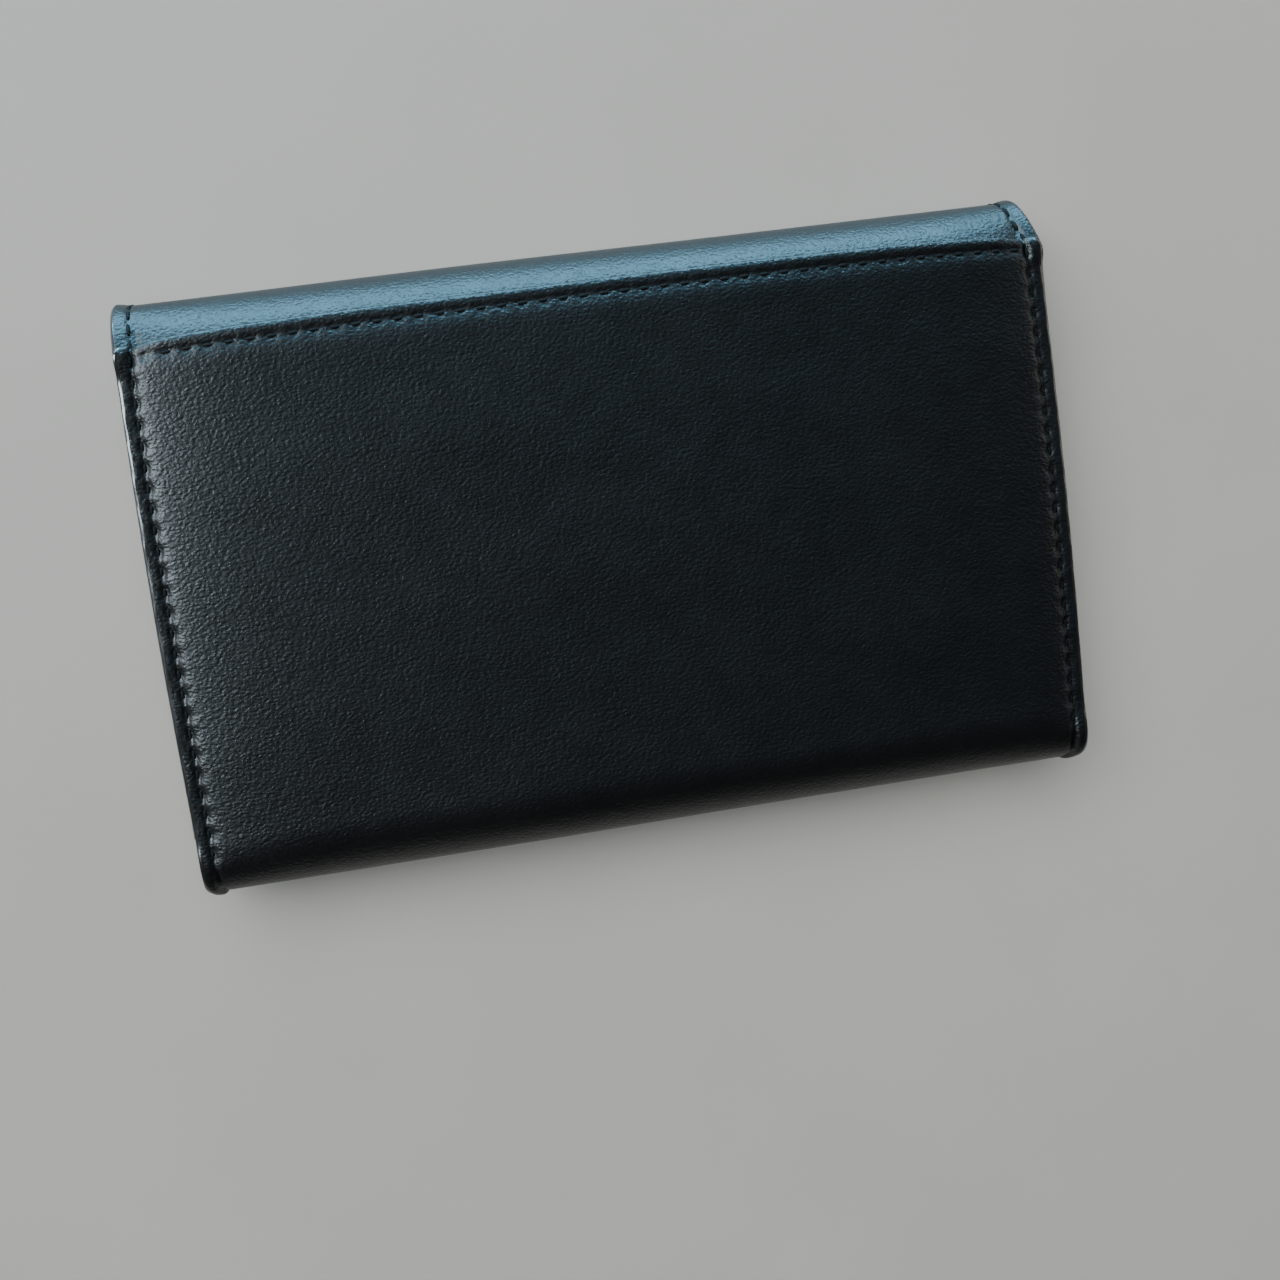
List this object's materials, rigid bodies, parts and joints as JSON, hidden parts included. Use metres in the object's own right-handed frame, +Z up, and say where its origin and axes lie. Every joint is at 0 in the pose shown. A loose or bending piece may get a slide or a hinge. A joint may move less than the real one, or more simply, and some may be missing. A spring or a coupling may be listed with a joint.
{
  "type": "card holder",
  "caption": "Landscape leather card holder, padded front and back, a flap that wraps over the top and snaps at the front, fan of card pockets between side gussets.",
  "frame": {"origin": "centre of the bounding box's bottom face, on the outer face of the flap", "axes": "+X across the body to the right of the upturned back panel, +Y towards the fold of the flap, +Z up through the back panel; the card holder lies closed on its flap"},
  "size_m": [0.115, 0.0732, 0.0185],
  "materials": {
    "black_leather": "satin, fine grain",
    "edge_paint": "glossy edge paint",
    "lining": "matt twill",
    "leaf_sheet": "satin, thin grained sheet",
    "gusset_fabric": "matt",
    "thread": "waxed",
    "foam": "matt foam",
    "board": "matt fibre board",
    "snap_metal": "satin",
    "snap_paint": "gloss black lacquer"
  },
  "bodies": {
    "front": {"front_panel": "black_leather", "front_foam": "foam", "front_board": "board", "front_lining": "lining", "front_seam_thread": "thread", "snap_stud": "snap_metal", "snap_post": "snap_metal", "left_gusset": "gusset_fabric", "right_gusset": "gusset_fabric", "bottom_fold": "black_leather"},
    "leaf_1": {"leaf_1": "leaf_sheet"},
    "leaf_2": {"leaf_2": "leaf_sheet"},
    "leaf_3": {"leaf_3": "leaf_sheet"},
    "leaf_4": {"leaf_4": "leaf_sheet"},
    "leaf_5": {"leaf_5": "leaf_sheet"},
    "leaf_6": {"leaf_6": "leaf_sheet"},
    "leaf_7": {"leaf_7": "leaf_sheet"},
    "back": {"back_panel": "black_leather", "back_foam": "foam", "back_board": "board", "back_lining": "lining", "flap_tail": "black_leather", "top_seam_thread": "thread", "left_seam_thread": "thread", "right_seam_thread": "thread"},
    "roll_1": {"flap_spine_1": "black_leather", "spine_lining_1": "lining"},
    "roll_2": {"flap_spine_2": "black_leather", "spine_lining_2": "lining"},
    "roll_3": {"flap_spine_3": "black_leather", "spine_lining_3": "lining"},
    "roll_4": {"flap_spine_4": "black_leather", "spine_lining_4": "lining"},
    "roll_5": {"flap_spine_5": "black_leather", "spine_lining_5": "lining"},
    "roll_6": {"flap_spine_6": "black_leather", "spine_lining_6": "lining"},
    "roll_7": {"flap_spine_7": "black_leather", "spine_lining_7": "lining"},
    "flap": {"flap_leather": "black_leather", "flap_board": "board", "flap_lining": "lining", "flap_seam_thread": "thread", "snap_cap": "snap_paint", "snap_socket": "snap_metal"}
  },
  "joints": [
    {"name": "pocket_fan_1", "type": "hinge", "parent": "front", "child": "leaf_1", "pos_m": [0, -0.03665, 0.00659], "axis": [1, 0, 0], "range_deg": [0, 3.5], "deforming": ["left_gusset", "right_gusset", "bottom_fold"]},
    {"name": "pocket_fan_2", "type": "hinge", "parent": "leaf_1", "child": "leaf_2", "pos_m": [0, -0.03665, 0.00776], "axis": [1, 0, 0], "range_deg": [0, 3.5], "deforming": ["left_gusset", "right_gusset"]},
    {"name": "pocket_fan_3", "type": "hinge", "parent": "leaf_2", "child": "leaf_3", "pos_m": [0, -0.03665, 0.00894], "axis": [1, 0, 0], "range_deg": [0, 3.5], "deforming": ["left_gusset", "right_gusset"]},
    {"name": "pocket_fan_4", "type": "hinge", "parent": "leaf_3", "child": "leaf_4", "pos_m": [0, -0.03665, 0.01011], "axis": [1, 0, 0], "range_deg": [0, 3.5], "deforming": ["left_gusset", "right_gusset"]},
    {"name": "pocket_fan_5", "type": "hinge", "parent": "leaf_4", "child": "leaf_5", "pos_m": [0, -0.03665, 0.01129], "axis": [1, 0, 0], "range_deg": [0, 3.5], "deforming": ["left_gusset", "right_gusset"]},
    {"name": "pocket_fan_6", "type": "hinge", "parent": "leaf_5", "child": "leaf_6", "pos_m": [0, -0.03665, 0.01246], "axis": [1, 0, 0], "range_deg": [0, 3.5], "deforming": ["left_gusset", "right_gusset"]},
    {"name": "pocket_fan_7", "type": "hinge", "parent": "leaf_6", "child": "leaf_7", "pos_m": [0, -0.03665, 0.01364], "axis": [1, 0, 0], "range_deg": [0, 3.5], "deforming": ["left_gusset", "right_gusset"]},
    {"name": "pocket_fan_8", "type": "hinge", "parent": "leaf_7", "child": "back", "pos_m": [0, -0.03665, 0.01481], "axis": [1, 0, 0], "range_deg": [0, 3.5], "deforming": ["left_gusset", "right_gusset"]},
    {"name": "flap_open", "type": "hinge", "parent": "back", "child": "roll_1", "pos_m": [0, 0.03277, 0.01591], "axis": [1, 0, 0], "range_deg": [0, 22.5]},
    {"name": "flap_roll_2", "type": "hinge", "parent": "roll_1", "child": "roll_2", "pos_m": [0, 0.03489, 0.01388], "axis": [1, 0, 0], "range_deg": [0, 22.5]},
    {"name": "flap_roll_3", "type": "hinge", "parent": "roll_2", "child": "roll_3", "pos_m": [0, 0.03622, 0.01124], "axis": [1, 0, 0], "range_deg": [0, 22.5]},
    {"name": "flap_roll_4", "type": "hinge", "parent": "roll_3", "child": "roll_4", "pos_m": [0, 0.03659, 0.00832], "axis": [1, 0, 0], "range_deg": [0, 22.5]},
    {"name": "flap_roll_5", "type": "hinge", "parent": "roll_4", "child": "roll_5", "pos_m": [0, 0.03597, 0.00544], "axis": [1, 0, 0], "range_deg": [0, 22.5]},
    {"name": "flap_roll_6", "type": "hinge", "parent": "roll_5", "child": "roll_6", "pos_m": [0, 0.03442, 0.00294], "axis": [1, 0, 0], "range_deg": [0, 22.5]},
    {"name": "flap_roll_7", "type": "hinge", "parent": "roll_6", "child": "roll_7", "pos_m": [0, 0.03212, 0.00109], "axis": [1, 0, 0], "range_deg": [0, 22.5]},
    {"name": "flap_roll_8", "type": "hinge", "parent": "roll_7", "child": "flap", "pos_m": [0, 0.02934, 0.00012], "axis": [1, 0, 0], "range_deg": [0, 22.5]}
  ],
  "couplings": [
    {"joint": "flap_roll_2", "follows": "flap_open", "ratio": 1},
    {"joint": "flap_roll_3", "follows": "flap_open", "ratio": 1},
    {"joint": "flap_roll_4", "follows": "flap_open", "ratio": 1},
    {"joint": "flap_roll_5", "follows": "flap_open", "ratio": 1},
    {"joint": "flap_roll_6", "follows": "flap_open", "ratio": 1},
    {"joint": "flap_roll_7", "follows": "flap_open", "ratio": 1},
    {"joint": "flap_roll_8", "follows": "flap_open", "ratio": 1},
    {"joint": "pocket_fan_1", "follows": "flap_open", "ratio": 0.15556},
    {"joint": "pocket_fan_2", "follows": "flap_open", "ratio": 0.15556},
    {"joint": "pocket_fan_3", "follows": "flap_open", "ratio": 0.15556},
    {"joint": "pocket_fan_4", "follows": "flap_open", "ratio": 0.15556},
    {"joint": "pocket_fan_5", "follows": "flap_open", "ratio": 0.15556},
    {"joint": "pocket_fan_6", "follows": "flap_open", "ratio": 0.15556},
    {"joint": "pocket_fan_7", "follows": "flap_open", "ratio": 0.15556},
    {"joint": "pocket_fan_8", "follows": "flap_open", "ratio": 0.15556}
  ]
}
